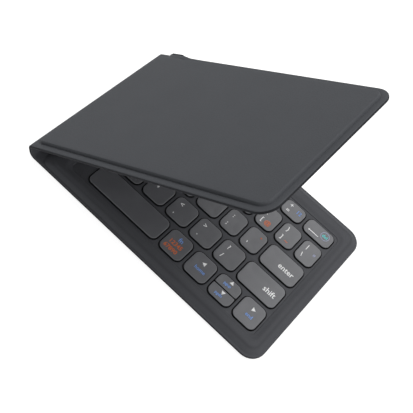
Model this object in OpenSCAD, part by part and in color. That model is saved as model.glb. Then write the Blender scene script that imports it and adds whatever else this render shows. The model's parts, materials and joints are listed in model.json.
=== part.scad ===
// Folding keyboard in two leather-covered halves joined by a soft spine.
// The right half lies on the table with its keys up, the left half stands open over it.
// In panel space x runs from a half's fold line to its outer edge, y from the front
// edge to the rear, and z from the outer face of the lip towards the keys.

/* [Halves] */
// Width of each half, from its fold line to its outer edge
panel_w = 146; // [143:1:185]
// Depth of each half, from front to rear
panel_d = 96; // [94:1:125]
// Corner radius at the outer edge
corner_r = 8.5; // [7:0.5:12]
// Opening angle between the halves
open_angle = 38; // [10:1:180]
// Space left between the two borders when the halves are closed
closed_gap = 0.4; // [0.3:0.05:2]
// Space from a fold line to the material on either side of it
fold_relief = 1.05; // [1.02:0.01:1.3]

/* [Covers] */
// Width of the thin lip round the outer face
lip_w = 3.5; // [3:0.1:5]
// Width of the thin lip round the border
inner_lip_w = 2.6; // [2.4:0.1:3.2]
// Thickness of the outer cover in the lip
outer_skin_t = 0.8; // [0.7:0.05:0.9]
// Thickness of the inner cover
inner_skin_t = 0.8; // [0.7:0.05:0.9]
// How far the outer face stands out from the lip
plateau_h = 1.3; // [1.1:0.05:2]
// Thickness of the outer cover under the base plate
floor_t = 0.9; // [0.6:0.05:1]
// Width of the soft edge round the outer face
plateau_slope = 1.2; // [0.8:0.1:2]
// Width of the slope from the lip up to the border
border_slope = 2.7; // [1.5:0.1:2.9]
// Distance from the fold line to the raised faces
fold_band = 4.6; // [4.4:0.1:6]
// Corner radius of the raised faces beside the fold
fold_corner_r = 2.5; // [1.5:0.5:4]
// Width of the cover walls around the inside
wall_w = 2.1; // [2:0.1:3]
// Width of the cover walls beside the fold
fold_wall_w = 1.1; // [1:0.1:2]
// Width of the key frame's rim beside the fold
frame_rim = 0.8; // [0.6:0.1:0.9]
// Clearance of the pieces inside the covers
case_fit = 0.2; // [0.1:0.05:0.4]

/* [Keys] */
// Distance from one letter key to the next along a row
key_pitch = 15.8; // [13:0.1:15.9]
// Distance from one row to the next
row_pitch = 15.9; // [14:0.1:16.5]
// Gap between neighbouring caps
key_gap = 2.45; // [2:0.05:3]
// Gap between the two half-height arrow caps
split_gap = 0.6; // [0.4:0.05:1]
// Corner radius of a cap
key_r = 2.6; // [1.5:0.1:2.6]
// Corner radius of the half-height caps where they face each other
split_r = 0.6; // [0.4:0.1:1.5]
// Distance from the caps to the outer edge
key_side = 11; // [10:0.1:14]
// Distance from the caps to the front edge
key_front = 10.7; // [10:0.1:14]
// Cap width of the narrow punctuation keys
narrow_cap = 10.85; // [9:0.05:12]
// Cap width of the number keys
number_cap = 12.8; // [10:0.1:13]
// Cap depth in the number row
number_depth = 9.3; // [8:0.1:12]
// Cap width of the delete and escape keys
delete_cap = 16.7; // [12:0.1:17]
// Cap width of the enter key
enter_cap = 21.7; // [15:0.1:22]
// Cap width of the right shift key
right_shift_cap = 23.6; // [15:0.1:24]
// Cap width of each half's space bar
space_cap = 44.8; // [30:0.1:46]
// Cap width of the tab key
tab_cap = 24.3; // [15:0.1:28]
// Cap width of the caps key
caps_cap = 28.3; // [15:0.1:32]
// Cap width of the left shift key
left_shift_cap = 36.3; // [15:0.1:38]
// Height of a cap
cap_h = 1.4; // [1.2:0.1:2]
// Thickness of a cap's top
cap_top_t = 0.8; // [0.6:0.1:0.9]
// Thickness of a cap's skirt
cap_wall = 0.9; // [0.6:0.1:1.2]
// Radius of the boss under a cap
boss_r = 1.5; // [1:0.1:2]
// How far the boss hangs below the cap's roof
boss_drop = 0.4; // [0.2:0.05:0.5]
// How far a key travels
key_travel = 1.1; // [0.8:0.05:1.6]
// Gap between a cap and its opening
key_fit = 0.55; // [0.3:0.05:0.6]
// How far the caps stand above the key frame
key_proud = 0.8; // [0.3:0.05:0.9]

/* [Layers] */
// Thickness of the steel base plate
plate_t = 0.5; // [0.4:0.05:0.8]
// Thickness of the contact membrane
membrane_t = 0.3; // [0.2:0.05:0.4]
// Thickness of the dome sheet between its domes
dome_sheet_t = 0.2; // [0.15:0.05:0.4]
// Radius of a rubber dome at its foot
dome_r = 2.7; // [2:0.1:2.8]
// Radius of a rubber dome at its crown
dome_crown_r = 1.6; // [1.2:0.1:1.8]
// Thickness of a dome's wall
dome_wall = 0.45; // [0.3:0.05:0.5]
// Space left under a cap that is pressed all the way
press_gap = 0.3; // [0.2:0.05:0.5]
// Gap between a dome and the cap that it lifts
dome_gap = 0.05; // [0.02:0.01:0.1]
// Least distance from a dome's foot to the sides of its cap
dome_margin = 0.5; // [0.3:0.05:0.8]
// How far the key frame's field reaches past the caps
field_margin = 1.8; // [1.6:0.1:2.4]
// How far the border stands above the key frame
border_h = 1.2; // [1:0.05:1.4]

/* [Battery and magnets] */
// Width of the battery
battery_w = 8; // [6:0.5:8]
// Length of the battery
battery_l = 66; // [40:1:68]
// Thickness of the battery
battery_t = 2.3; // [1.8:0.1:2.3]
// Space under the battery
battery_lift = 0.1; // [0.05:0.05:0.2]
// Margin round the folded end of the battery's pouch
pouch_seam = 0.5; // [0.3:0.05:0.7]
// Width of a closing magnet
magnet_w = 2; // [1.5:0.1:2.1]
// Length of a closing magnet
magnet_l = 15; // [8:1:20]
// Height of a closing magnet
magnet_h = 2.6; // [1.5:0.1:2.7]
// Distance between the middles of the two closing magnets
magnet_spacing = 44; // [30:1:60]

/* [Electronics] */
// Width of the main circuit board
board_w = 8; // [7:0.5:8]
// Thickness of the main circuit board
board_t = 0.8; // [0.6:0.1:1]
// Distance from the front edge to the main circuit board
board_front = 22; // [15:1:40]
// Height of the board's underside above the base plate
board_lift = 0.5; // [0.45:0.05:0.6]
// Length of the radio module's shield
radio_l = 13; // [8:1:16]
// Width of the radio module's shield
radio_w = 6.6; // [5:0.1:6.8]
// Height of the radio module's shield
radio_h = 1.2; // [0.8:0.1:1.4]
// Thickness of the solder under the radio module
solder_t = 0.05; // [0.02:0.01:0.1]
// Distance from the front edge to the radio module
radio_front = 36; // [28:1:50]
// Width of the flat cable between the halves
flex_w = 12; // [8:1:16]
// Thickness of the flat cable
flex_t = 0.3; // [0.2:0.05:0.3]
// Width of the charging port's shell
port_w = 8.94; // [8.9:0.02:9]
// Height of the charging port's shell
port_h = 3.16; // [3.1:0.02:3.2]
// Length of the charging port's shell
port_l = 7.35; // [6.5:0.05:8]
// Thickness of the charging port's shell
port_wall = 0.3; // [0.25:0.05:0.35]
// Thickness of the charging port's back
port_back_t = 1; // [0.8:0.05:1.2]
// Width of the charging port's tongue
tongue_w = 6.7; // [6.6:0.05:6.8]
// Thickness of the charging port's tongue
tongue_t = 0.7; // [0.6:0.05:0.8]
// Length of the charging port's tongue
tongue_l = 4.5; // [4:0.1:4.6]
// Width of the port's moulded housing
housing_w = 12.4; // [12.2:0.1:16]
// Depth of the port's moulded housing
housing_d = 8.2; // [8:0.1:10]
// Corner radius of the housing
housing_r = 1.2; // [0.8:0.1:1.5]
// Thickness of the housing beside the board
housing_wall = 1; // [0.9:0.1:1.2]
// How far the board reaches along the port
board_reach = 5; // [3:0.5:6]
// How far the housing stands out behind the rear edge
housing_proud = 0.7; // [0.5:0.1:1.5]
// Distance from the fold line to the housing
housing_x = 6.4; // [6.4:0.1:10]

/* [Hidden] */
$fn = 48;
cut = 1;
closed_fold = 90;
letter_cap = key_pitch - key_gap;

// Levels in panel space, from the outer face towards the keys
lip_t = outer_skin_t + inner_skin_t;
hinge_z = lip_t / 2;
plate_z = floor_t - plateau_h;
membrane_z = plate_z + plate_t;
dome_sheet_z = membrane_z + membrane_t;
dome_z = dome_sheet_z + dome_sheet_t;
cap_z = dome_z + press_gap + key_travel;
cap_top_z = cap_z + cap_h;
deck_z = cap_top_z - key_proud;
border_z = deck_z + border_h;
skin_z = border_z - inner_skin_t;
roof_z = cap_top_z - cap_top_t;
boss_z = roof_z - boss_drop;
battery_z = dome_sheet_z + battery_lift;
board_z = membrane_z + board_lift;
port_z = board_z + board_t / 2;

// Insets from the edge of a half
pocket_inset = lip_w + wall_w;
frame_inset = pocket_inset + case_fit;
pocket_fold = fold_band + fold_wall_w;
frame_fold = pocket_fold + case_fit;

// The fold: both fold lines turn by the same angle
fold_angle = closed_fold - open_angle / 2;
spine_w = 2 * (border_z + closed_gap / 2 - hinge_z);

// The rows, each from the outer edge towards the fold: [names, cap width]
right_rows = [
    [[["key_right_arrow"], letter_cap], [["key_down_arrow", "key_up_arrow"], letter_cap],
     [["key_left_arrow"], letter_cap], [["key_menu"], letter_cap],
     [["key_space_right"], space_cap]],
    [[["key_shift_right"], right_shift_cap], [["key_slash"], letter_cap],
     [["key_period"], letter_cap], [["key_comma"], letter_cap],
     [["key_m"], letter_cap], [["key_n"], letter_cap]],
    [[["key_enter"], enter_cap], [["key_quote"], narrow_cap],
     [["key_semicolon"], narrow_cap], [["key_l"], letter_cap],
     [["key_k"], letter_cap], [["key_j"], letter_cap], [["key_h"], letter_cap]],
    [[["key_backslash"], narrow_cap], [["key_right_bracket"], narrow_cap],
     [["key_left_bracket"], narrow_cap], [["key_p"], letter_cap],
     [["key_o"], letter_cap], [["key_i"], letter_cap],
     [["key_u"], letter_cap], [["key_y"], letter_cap]],
    [[["key_delete"], delete_cap], [["key_equals"], number_cap],
     [["key_minus"], number_cap], [["key_0"], number_cap],
     [["key_9"], number_cap], [["key_8"], number_cap], [["key_7"], number_cap]],
];
left_rows = [
    [[["control"], letter_cap], [["function"], letter_cap], [["option"], letter_cap],
     [["command"], letter_cap], [["space"], space_cap]],
    [[["shift"], left_shift_cap], [["z"], letter_cap], [["x"], letter_cap],
     [["c"], letter_cap], [["v"], letter_cap], [["b"], letter_cap]],
    [[["caps"], caps_cap], [["a"], letter_cap], [["s"], letter_cap],
     [["d"], letter_cap], [["f"], letter_cap], [["g"], letter_cap]],
    [[["tab"], tab_cap], [["q"], letter_cap], [["w"], letter_cap],
     [["e"], letter_cap], [["r"], letter_cap], [["t"], letter_cap]],
    [[["escape"], delete_cap], [["1"], number_cap], [["2"], number_cap],
     [["3"], number_cap], [["4"], number_cap], [["5"], number_cap],
     [["6"], number_cap]],
];
left_row_names = ["left_space_row", "left_lower_row", "left_home_row", "left_upper_row",
                  "left_number_row"];
last_row = len(right_rows) - 1;

// Width of a row's first n caps with the gaps after them
function used(row, n) = n == 0 ? 0 : used(row, n - 1) + row[n - 1][1] + key_gap;
function row_y(r) = key_front + r * row_pitch;
function row_depth(r) = r == last_row ? number_depth : row_pitch - key_gap;
// Depth of each of n caps that share one place in row r
function share(r, n) = (row_depth(r) - (n - 1) * split_gap) / n;
// One row's caps as [name, x, y, width, depth, 1 or -1 if the rear or front is shared]
function row_caps(row, r) = [
    for (i = [0 : len(row) - 1])
        let (names = row[i][0], w = row[i][1], d = share(r, len(names)))
            for (j = [0 : len(names) - 1])
                [names[j], panel_w - key_side - used(row, i) - w,
                 row_y(r) + j * (d + split_gap), w, d,
                 len(names) == 1 ? 0 : (j == 0 ? 1 : -1)]
];
right_caps = [for (r = [0 : last_row]) each row_caps(right_rows[r], r)];
left_caps = [for (r = [0 : last_row]) each row_caps(left_rows[r], r)];

// The rectangle round all caps, a margin wider
key_ends = [for (k = concat(right_caps, left_caps)) k[1]];
field = [min(key_ends) - field_margin, key_front - field_margin,
         panel_w - key_side + field_margin,
         row_y(last_row) + number_depth + field_margin];
flex_y = panel_d / 2;
board_x = frame_fold + frame_rim + case_fit;
battery_x = board_x;
port_x = housing_x + housing_w / 2;
mouth_y = panel_d + housing_proud;
port_y = mouth_y - port_l;
magnet_x = field[2] + case_fit;

// The whole model's box, for its origin at the middle of the underside
box_left = -(spine_w - fold_relief) * cos(fold_angle) - hinge_z * sin(fold_angle);
centre_x = (panel_w + box_left) / 2;
centre_y = mouth_y / 2;

leather = [0.32, 0.33, 0.34];
lining = [0.27, 0.27, 0.28];
cap_grey = [0.42, 0.42, 0.44];
frame_grey = [0.24, 0.24, 0.25];
rubber_black = [0.10, 0.10, 0.11];
film_green = [0.30, 0.42, 0.36];

// Places panel space in the model: the right half, the spine and the left half
module right_half() {
    translate([-centre_x, -centre_y, plateau_h]) children();
}

module spine() {
    right_half() translate([0, 0, hinge_z]) rotate([0, fold_angle, 0]) children();
}

module left_half() {
    spine() translate([-spine_w, 0, 0]) rotate([0, fold_angle, 0])
        translate([0, 0, -hinge_z]) mirror([1, 0, 0]) children();
}

// A rectangle with round corners, from one corner to the other
module round_rect(from, to, r) {
    size = to - from;
    translate(from) {
        translate([r, 0]) square([size[0] - 2 * r, size[1]]);
        translate([0, r]) square([size[0], size[1] - 2 * r]);
        for (x = [r, size[0] - r], y = [r, size[1] - r])
            translate([x, y]) circle(r);
    }
}

module round_box(from, to, r, low, high) {
    translate([0, 0, low]) linear_extrude(high - low) round_rect(from, to, r);
}

module box(from, to, low, high) {
    translate([from[0], from[1], low])
        cube([to[0] - from[0], to[1] - from[1], high - low]);
}

// The full outline of a half, square at the fold
module lip_layer(low, high) {
    round_box([fold_relief, 0], [panel_w, panel_d], corner_r, low, high);
    box([fold_relief, 0], [fold_relief + 2 * corner_r, panel_d], low, high);
}

// An outline set in from the edge and from the fold
module inset_layer(inset, fold_inset, low, high) {
    round_box([fold_inset, inset], [panel_w - inset, panel_d - inset],
              min(fold_corner_r, corner_r - inset), low, high);
}

// A raised face inside its lip, drawn in by the slope as it rises
module raised_face(lip, slope, rise) {
    thin = 0.01;
    hull() {
        linear_extrude(thin) face_corners(lip, fold_band);
        translate([0, 0, rise - thin]) linear_extrude(thin)
            face_corners(lip + slope, fold_band + slope);
    }
}

module face_corners(inset, fold_inset) {
    r = corner_r - inset;
    for (y = [inset + r, panel_d - inset - r])
        translate([panel_w - inset - r, y]) circle(r, $fn = 32);
    for (y = [inset + fold_corner_r, panel_d - inset - fold_corner_r])
        translate([fold_inset + fold_corner_r, y]) circle(fold_corner_r, $fn = 32);
}

// Room for the flat cable through the lip at the fold
module flex_slot() {
    box([0, flex_y - flex_w / 2 - case_fit], [pocket_fold + cut, flex_y + flex_w / 2 + case_fit],
        hinge_z - flex_t / 2 - case_fit / 2, hinge_z + flex_t / 2 + case_fit / 2);
}

// Room for the port housing through the rear of the left half
module housing_slot() {
    box([housing_x - case_fit / 2, mouth_y - housing_d - case_fit / 2],
        [housing_x + housing_w + case_fit / 2, panel_d + cut],
        -plateau_h - cut, skin_z);
}

module outer_cover(ported) {
    color(leather) difference() {
        union() {
            lip_layer(0, outer_skin_t);
            mirror([0, 0, 1]) raised_face(lip_w, plateau_slope, plateau_h);
        }
        inset_layer(pocket_inset, pocket_fold, plate_z, outer_skin_t + cut);
        flex_slot();
        if (ported) housing_slot();
    }
}

module inner_cover(ported) {
    color(lining) difference() {
        union() {
            lip_layer(outer_skin_t, lip_t);
            translate([0, 0, lip_t])
                raised_face(inner_lip_w, border_slope, border_z - lip_t);
        }
        inset_layer(pocket_inset, pocket_fold, outer_skin_t - cut, skin_z);
        round_box([field[0], field[1]], [field[2], field[3]], key_r, skin_z - cut,
                  border_z + cut);
        flex_slot();
        if (ported) housing_slot();
    }
}

module base_plate(ported) {
    color("silver") difference() {
        inset_layer(frame_inset, frame_fold, plate_z, membrane_z);
        if (ported) housing_slot();
    }
}

// The contact film with a tail that steps up into the lip at the fold
module membrane() {
    tail = [flex_y - flex_w / 2, flex_y + flex_w / 2];
    color(film_green) {
        round_box([field[0], field[1]], [field[2], field[3]], key_r, membrane_z,
                  dome_sheet_z);
        box([frame_fold, tail[0]], [field[0] + key_r, tail[1]], membrane_z,
            membrane_z + flex_t);
        box([frame_fold, tail[0]], [frame_fold + flex_t, tail[1]], membrane_z,
            hinge_z + flex_t / 2);
        box([fold_relief, tail[0]], [frame_fold + flex_t, tail[1]],
            hinge_z - flex_t / 2, hinge_z + flex_t / 2);
    }
}

// A dome's foot is narrower under a shallow cap
function foot_r(k) = min(dome_r, k[4] / 2 - dome_margin);

module dome(k) {
    rise = boss_z - dome_gap - dome_z;
    translate([k[1] + k[3] / 2, k[2] + k[4] / 2, dome_z])
        cylinder(h = rise, r1 = foot_r(k), r2 = dome_crown_r);
}

module dome_hollow(k) {
    rise = boss_z - dome_gap - dome_z - dome_wall;
    translate([k[1] + k[3] / 2, k[2] + k[4] / 2, dome_z])
        cylinder(h = rise, r1 = foot_r(k) - dome_wall, r2 = dome_crown_r - dome_wall);
}

module dome_sheet(caps) {
    color(rubber_black) difference() {
        union() {
            round_box([field[0], field[1]], [field[2], field[3]], key_r, dome_sheet_z,
                      dome_z);
            for (k = caps) dome(k);
        }
        for (k = caps) dome_hollow(k);
    }
}

// The moulded frame that the keys move in, with room for what lies beside them
module key_frame(caps, ported) {
    color(frame_grey) difference() {
        inset_layer(frame_inset, frame_fold, membrane_z, skin_z);
        round_box([field[0], field[1]], [field[2], field[3]], key_r, deck_z, skin_z + cut);
        round_box([field[0] - case_fit, field[1] - case_fit],
                  [field[2] + case_fit, field[3] + case_fit], key_r + case_fit,
                  membrane_z - cut, dome_z);
        for (k = caps)
            cap_block(k, -key_fit, membrane_z, deck_z + cut);
        box([0, flex_y - flex_w / 2 - case_fit],
            [field[0], flex_y + flex_w / 2 + case_fit],
            membrane_z - cut, hinge_z + flex_t / 2 + case_fit / 2);
        magnet_pockets();
        if (ported) {
            board_layer(case_fit, membrane_z - cut, skin_z + cut);
            housing_slot();
        } else battery_block(case_fit, membrane_z - cut, skin_z + cut);
    }
}

module battery_block(room, low, high) {
    box([battery_x - room, panel_d / 2 - battery_l / 2 - room],
        [battery_x + battery_w + room, panel_d / 2 + battery_l / 2 + room], low, high);
}

module battery_cell() {
    color("dimgray") {
        battery_block(0, battery_z, battery_z + battery_t);
        box([battery_x + pouch_seam, panel_d / 2 + battery_l / 2],
            [battery_x + battery_w - pouch_seam, panel_d / 2 + battery_l / 2 + case_fit / 2],
            battery_z + pouch_seam, battery_z + 2 * pouch_seam);
    }
}

module magnet_blocks(room, low, high) {
    for (side = [-1, 1]) {
        y = panel_d / 2 + side * magnet_spacing / 2;
        box([magnet_x - room, y - magnet_l / 2 - room],
            [magnet_x + magnet_w + room, y + magnet_l / 2 + room], low, high);
    }
}

module magnet_pockets() {
    magnet_blocks(case_fit, membrane_z - cut, skin_z + cut);
}

module magnets() {
    color("lightsteelblue") magnet_blocks(0, membrane_z, membrane_z + magnet_h);
}

// The board: a strip beside the fold and a wider end that holds the port
module board_layer(room, low, high) {
    strip_rear = mouth_y - housing_d - 2 * case_fit;
    box([board_x - room, board_front - room],
        [board_x + board_w + room, strip_rear + room], low, high);
    box([housing_x + housing_wall - room, field[3] + 2 * case_fit - room],
        [housing_x + housing_w - housing_wall + room, port_y + board_reach + room],
        low, high);
}

// The port sits in a notch at the board's rear end
module circuit_board() {
    room = case_fit / 2;
    color("darkgreen") difference() {
        board_layer(0, board_z, board_z + board_t);
        box([port_x - port_w / 2 - room, port_y - room],
            [port_x + port_w / 2 + room, panel_d], board_z - cut,
            board_z + board_t + cut);
    }
}

// The radio module's shield stands on the board
module radio_shield() {
    color("gainsboro")
        box([board_x + (board_w - radio_w) / 2, radio_front],
            [board_x + (board_w + radio_w) / 2, radio_front + radio_l],
            board_z + board_t + solder_t, board_z + board_t + solder_t + radio_h);
}

// The port's oval section, drawn upright and laid along y
module oval_bar(w, h, from, to) {
    translate([port_x, to, port_z]) rotate([90, 0, 0]) linear_extrude(to - from) {
        square([w - h, h], center = true);
        for (x = [-1, 1]) translate([x * (w - h) / 2, 0]) circle(h / 2);
    }
}

// The charging port's shell with its tongue, in the moulded housing
module charging_port() {
    color("silver") {
        difference() {
            oval_bar(port_w, port_h, port_y, mouth_y);
            oval_bar(port_w - 2 * port_wall, port_h - 2 * port_wall, port_y + port_back_t,
                     mouth_y + cut);
        }
        box([port_x - tongue_w / 2, port_y + port_back_t / 2],
            [port_x + tongue_w / 2, port_y + port_back_t + tongue_l],
            port_z - tongue_t / 2, port_z + tongue_t / 2);
    }
}

module port_housing() {
    color(leather) difference() {
        translate([0, mouth_y, 0]) rotate([90, 0, 0])
            round_box([housing_x, -plateau_h], [housing_x + housing_w, skin_z - case_fit],
                      housing_r, 0, housing_d);
        oval_bar(port_w + case_fit, port_h + case_fit, port_y - case_fit, mouth_y + cut);
        board_layer(case_fit / 2, board_z - case_fit / 2, board_z + board_t + case_fit / 2);
    }
}

// A cap's outline, set in, with squarer corners towards a cap that shares its place
module cap_block(k, inset, low, high) {
    from = [k[1] + inset, k[2] + inset];
    to = [k[1] + k[3] - inset, k[2] + k[4] - inset];
    translate([0, 0, low]) linear_extrude(high - low) {
        round_rect(from, to, key_r - inset);
        if (k[5] == 1)
            round_rect([from[0], k[2] + key_r], to, max(split_r - inset, split_r / 2));
        if (k[5] == -1)
            round_rect(from, [to[0], k[2] + k[4] - key_r],
                       max(split_r - inset, split_r / 2));
    }
}

// A cap with a hollow underside and a boss over its dome
module key_cap(k) {
    color(cap_grey) {
        difference() {
            cap_block(k, 0, cap_z, cap_top_z);
            cap_block(k, cap_wall, cap_z - cut, roof_z);
        }
        translate([k[1] + k[3] / 2, k[2] + k[4] / 2, boss_z])
            cylinder(h = roof_z - boss_z + cap_top_t / 2, r = boss_r);
    }
}

// The spine's strip between the fold lines, one side of the flat cable
module spine_strip(low, high) {
    translate([fold_relief - spine_w, 0, low])
        cube([spine_w - 2 * fold_relief, panel_d, high - low]);
}

module flex_strip(room) {
    translate([fold_relief - spine_w, flex_y - flex_w / 2 - room, -flex_t / 2 - room / 2])
        cube([spine_w - 2 * fold_relief, flex_w + 2 * room, flex_t + room]);
}

module spine_cover() {
    color(leather) difference() {
        spine_strip(-hinge_z, 0);
        flex_strip(case_fit);
    }
}

module spine_lining() {
    color(lining) difference() {
        spine_strip(0, lip_t - hinge_z);
        flex_strip(case_fit);
    }
}

right_half() outer_cover(false);  // right_outer_cover
right_half() inner_cover(false);  // right_inner_cover
right_half() base_plate(false);  // right_base_plate
right_half() membrane();  // right_membrane
right_half() dome_sheet(right_caps);  // right_dome_sheet
right_half() key_frame(right_caps, false);  // right_key_frame
right_half() battery_cell();  // battery
right_half() magnets();  // right_magnets
spine() spine_cover();
spine() spine_lining();
spine() color("orange") flex_strip(0);  // flex_cable
left_half() outer_cover(true);  // left_outer_cover
left_half() inner_cover(true);  // left_inner_cover
left_half() base_plate(true);  // left_base_plate
left_half() membrane();  // left_membrane
left_half() dome_sheet(left_caps);  // left_dome_sheet
left_half() key_frame(left_caps, true);  // left_key_frame
left_half() magnets();  // left_magnets
left_half() {
    circuit_board();
    radio_shield();
}
left_half() charging_port();
left_half() port_housing();
for (r = [0 : last_row])
    left_half() for (k = row_caps(left_rows[r], r)) key_cap(k);
for (k = right_caps)
    right_half() key_cap(k);
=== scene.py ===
"""Looks of a folding keyboard: two leather-covered halves on a soft spine, half open.

A half is described in its own sheet space, in metres: s runs from its fold line to its outer
edge, y from the front edge to the rear, and t up from the middle of the lip towards the keys.
"""
import json
import math

import bmesh
import bpy
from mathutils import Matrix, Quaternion, Vector


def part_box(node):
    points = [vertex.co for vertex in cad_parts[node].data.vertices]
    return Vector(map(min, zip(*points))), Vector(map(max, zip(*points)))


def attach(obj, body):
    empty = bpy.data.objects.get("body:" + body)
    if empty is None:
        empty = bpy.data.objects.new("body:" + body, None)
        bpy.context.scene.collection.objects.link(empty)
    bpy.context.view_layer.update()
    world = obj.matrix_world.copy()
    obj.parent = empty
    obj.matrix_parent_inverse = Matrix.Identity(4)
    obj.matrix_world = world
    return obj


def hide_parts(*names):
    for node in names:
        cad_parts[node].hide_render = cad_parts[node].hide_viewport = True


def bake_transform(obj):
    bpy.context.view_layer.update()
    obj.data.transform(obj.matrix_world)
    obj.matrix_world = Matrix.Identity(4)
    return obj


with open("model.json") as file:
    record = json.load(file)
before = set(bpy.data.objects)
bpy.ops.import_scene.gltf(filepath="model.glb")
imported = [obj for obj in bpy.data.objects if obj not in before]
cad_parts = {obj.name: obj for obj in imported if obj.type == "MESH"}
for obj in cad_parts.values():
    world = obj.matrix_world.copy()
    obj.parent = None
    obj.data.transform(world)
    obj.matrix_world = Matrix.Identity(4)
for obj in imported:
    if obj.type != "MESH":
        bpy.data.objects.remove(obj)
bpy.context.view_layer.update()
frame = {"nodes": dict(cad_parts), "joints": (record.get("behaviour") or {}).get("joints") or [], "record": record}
nodes = frame["nodes"]
joints = {j["name"]: j for j in frame["joints"]}

MM = 0.001

# Sizes of the halves, from the frame
right_axis = Vector(joints["right_fold"]["pos_m"])
left_axis = Vector(joints["left_fold"]["pos_m"])
cover_low, cover_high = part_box("right_outer_cover")
field_low, field_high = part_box("right_dome_sheet")
FRONT_Y = cover_low.y
SPINE_W = (left_axis - right_axis).length
FOLD = math.atan2(left_axis.z - right_axis.z, right_axis.x - left_axis.x)
PANEL_W = cover_high.x - right_axis.x
PANEL_D = cover_high.y - cover_low.y
PLATEAU_T = cover_low.z - right_axis.z
BORDER_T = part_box("right_inner_cover")[1].z - right_axis.z
CAP_TOP_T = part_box("key_enter")[1].z - right_axis.z
CAP_LOW_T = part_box("key_enter")[0].z - right_axis.z
CAP_PROUD = 0.8 * MM  # how far the caps stand out of the key frame
DECK_T = CAP_TOP_T - CAP_PROUD
FIELD = (field_low.x - right_axis.x, field_low.y - FRONT_Y,
         field_high.x - right_axis.x, field_high.y - FRONT_Y)

# The lip round each half: two layers with a seam between them and a dark cut edge, which is
# edge paint and painted shade
LIP_HALF = 0.8 * MM  # one layer
OUTER_LIP = 3.5 * MM  # the lip's width on the outer face
INNER_LIP = 1.2 * MM  # the same on the side of the keys
LIP_SHARES = (0.35, 0.6, 0.75, 0.85, 0.92, 0.96, 1)  # lines across its flat part
CORNER_R = 8.5 * MM
SEAM_T = 0.02 * MM  # half the seam's width
SEAM_IN = 0.12 * MM  # its depth
SEAM_EDGE_T = 0.08 * MM
EDGE_R = LIP_HALF * 0.75
EDGE_W = 0.1 * MM  # how far the dark edge, edge paint and painted shade, reaches over the lip
LEATHER_T = 0.5 * MM

# The raised outer face, the crease beside its foot and the shade painted along it
OUTER_BAND = 3.0 * MM  # from the fold line to its foot
OUTER_FOLD_R = 2.5 * MM  # its corners at the fold
OUTER_SLOPE = 0.95 * MM  # width of the step up to it
OUTER_POWER = 2.4  # how round the step is
FACE_DEPTHS = (2.4 * MM, 6 * MM, 14 * MM)
CREASE = 0.22 * MM
CREASE_IN = 0.2 * MM  # where its painted shade is darkest, inside the foot
CREASE_W = 0.5 * MM
CREASE_FADE = 0.7  # the share that the crease and its painted shade lose towards the outer edge
CREASE_FADE_S = (PANEL_W - 16 * MM, PANEL_W - 7 * MM)

# The border round the keys: its rise, its groove, its crown and its fall to the key frame
INNER_BAND = 4.6 * MM
INNER_FOLD_R = 5 * MM
INNER_SLOPE = 4.4 * MM
BORDER_DEPTHS = [d * MM for d in (0.3, 0.7, 1.2, 1.7, 2.2, 2.5, 2.7, 2.85, 3, 3.15, 3.3, 3.5, 3.9)]
GROOVE = 0.14 * MM
GROOVE_IN = 3 * MM
GROOVE_W = 0.8 * MM
GROOVE_RUN = 40 * MM  # the length over which its painted shade runs out at the fold
CROWN_T = BORDER_T - 0.3 * MM
BORDER_FALL_W = 3.2 * MM
FIELD_R = 2.6 * MM
FIELD_STEP = 0.3 * MM  # how far the border's inner edge stands above the key frame
FIELD_TURN = ((-0.2 * MM, DECK_T + FIELD_STEP * 0.8), (-0.35 * MM, DECK_T + FIELD_STEP * 0.3),
              (-0.4 * MM, DECK_T - 0.15 * MM))  # the edge's rounding, as (outwards, height)

# The fold, which is soft on the right half and sharper on the left, and the cable in it
FOLD_BULGE = 0.65 * MM  # how far the spine stands outside the line between the fold lines
SHARP_TANGENT = 2.0 * MM  # the left bend's reach from its corner
CABLE_HALF = 0.15 * MM

# The charging port's housing on the left half's rear edge, as lowest s and t, then highest
HOUSING = (7.3 * MM, -1.58 * MM, 18.3 * MM, 2.08 * MM)
HOUSING_EDGE = 0.5 * MM
HOUSING_BACK = 0.3 * MM
MOUTH_FLARE = 0.3 * MM
MOUTH_GAP = 0.06 * MM
MOUTH_DEPTH = 0.24 * MM

# The covers' raised place round the housing
SWELL_RISE = (6.9 * MM, 10.6 * MM)  # where it rises along the edge
SWELL_FALL = (16.5 * MM, 24 * MM)
SWELL_T = {-1: 1.9 * MM, 1: 2.6 * MM}  # its height on the outer and the inner side
SWELL_PROUD = 0.2 * MM  # how far it stands out at the rear
SWELL_REACH = 7 * MM  # how far it reaches in from the edge
SWELL_GAP = 0.1 * MM
SWELL_LEAST = 0.15 * MM  # the least leather between the housing and the surface

# The keys and the key frame
KEY_R = 3.0 * MM
SPLIT_R = 0.6 * MM  # corners where the two short arrow keys meet
CAP_ROOF = 0.8 * MM
CAP_WALL = 0.9 * MM
CAP_CHAMFER = 0.1 * MM
CAP_EDGE = 0.3 * MM  # the rounding of the top's edge
CAP_RIM = 0.1 * MM  # the flat band inside it; both are painted paler as a highlight
CAP_APART = 0.1 * MM  # solids of a row further apart than this are two caps
DISH = 0.16 * MM
DISH_W = 4.5 * MM
TOP_STEP = 0.6 * MM
LEAST_R = 0.3 * MM
KEY_FIT = 0.4 * MM  # the gap round a cap in its opening
SHARED_GAP = 0.9 * MM  # caps closer than this share an opening
GRID_BEVEL = 0.22 * MM
GRID_LOW_T = -0.1 * MM
GRID_UNDER = 0.3 * MM  # how far the frame reaches under the border
CLOSE = 0.001 * MM

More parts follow.
